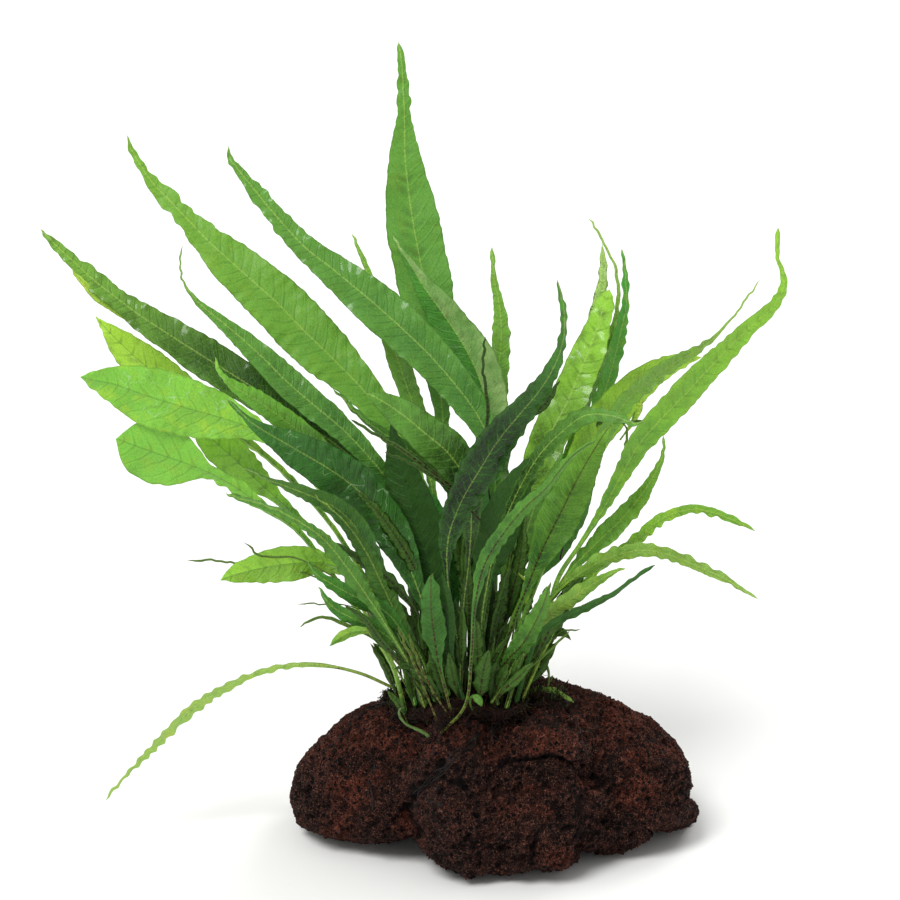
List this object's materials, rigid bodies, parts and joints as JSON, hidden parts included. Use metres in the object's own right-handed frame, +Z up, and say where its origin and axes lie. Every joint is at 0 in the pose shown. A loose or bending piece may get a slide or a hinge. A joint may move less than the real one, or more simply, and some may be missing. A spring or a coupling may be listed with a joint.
{
  "type": "java fern on stone",
  "caption": "Java fern with long wavy fronds, some upright and some arching, held by its creeping rhizome on a lump of porous dark red lava stone with a flat underside.",
  "frame": {"origin": "on the stone's flat underside, below the foot of the clump", "axes": "+Z up, the pictured front faces -Y, +X to the right as seen in the picture"},
  "size_m": [0.2227, 0.1482, 0.2375],
  "materials": {
    "lava_stone": "rough, porous, damp",
    "rhizome": "matte, fibrous",
    "frond_light": "satin, wet",
    "frond_mid": "satin, wet",
    "frond_dark": "satin, wet",
    "young_frond": "satin"
  },
  "bodies": {
    "root": {"stone": "lava_stone", "rhizome_main_stem": "rhizome", "rhizome_front": "rhizome", "rhizome_back": "rhizome", "rhizome_runner": "rhizome", "frond_front_01": "frond_mid", "frond_front_02": "frond_mid", "frond_front_03": "frond_mid", "frond_front_04": "frond_dark", "frond_left_01": "frond_mid", "frond_left_02": "frond_light", "frond_left_03": "frond_dark", "frond_left_04": "frond_dark", "frond_left_05": "frond_mid", "frond_left_06": "frond_dark", "frond_left_07": "frond_dark", "frond_left_08": "frond_mid", "frond_left_09": "frond_light", "frond_left_10": "frond_light", "frond_left_11": "frond_light", "frond_left_12": "frond_light", "frond_left_13": "frond_mid", "frond_left_14": "frond_dark", "frond_left_15": "frond_light", "frond_left_16": "frond_light", "frond_left_17": "frond_mid", "frond_centre_01": "frond_dark", "frond_centre_02": "frond_mid", "frond_centre_03": "frond_dark", "frond_centre_04": "frond_dark", "frond_centre_05": "frond_mid", "frond_centre_06": "frond_dark", "frond_centre_07": "frond_light", "frond_centre_08": "frond_mid", "frond_centre_09": "frond_mid", "frond_centre_10": "frond_mid", "frond_right_01": "frond_dark", "frond_right_02": "frond_light", "frond_right_03": "frond_light", "frond_right_04": "frond_light", "frond_right_05": "frond_mid", "frond_right_06": "frond_mid", "frond_right_07": "frond_mid", "frond_right_08": "frond_mid", "frond_right_09": "frond_dark", "frond_right_10": "frond_mid", "frond_right_11": "frond_light", "frond_right_12": "frond_light", "frond_right_13": "frond_mid", "frond_right_14": "frond_mid", "frond_back_01": "frond_mid", "frond_back_02": "frond_mid", "frond_back_03": "frond_mid", "frond_back_04": "frond_mid", "frond_back_05": "frond_mid", "frond_back_06": "frond_mid", "frond_back_07": "frond_mid", "fiddlehead": "young_frond", "young_frond_curled": "young_frond", "young_frond_looped": "young_frond"}
  },
  "joints": []
}
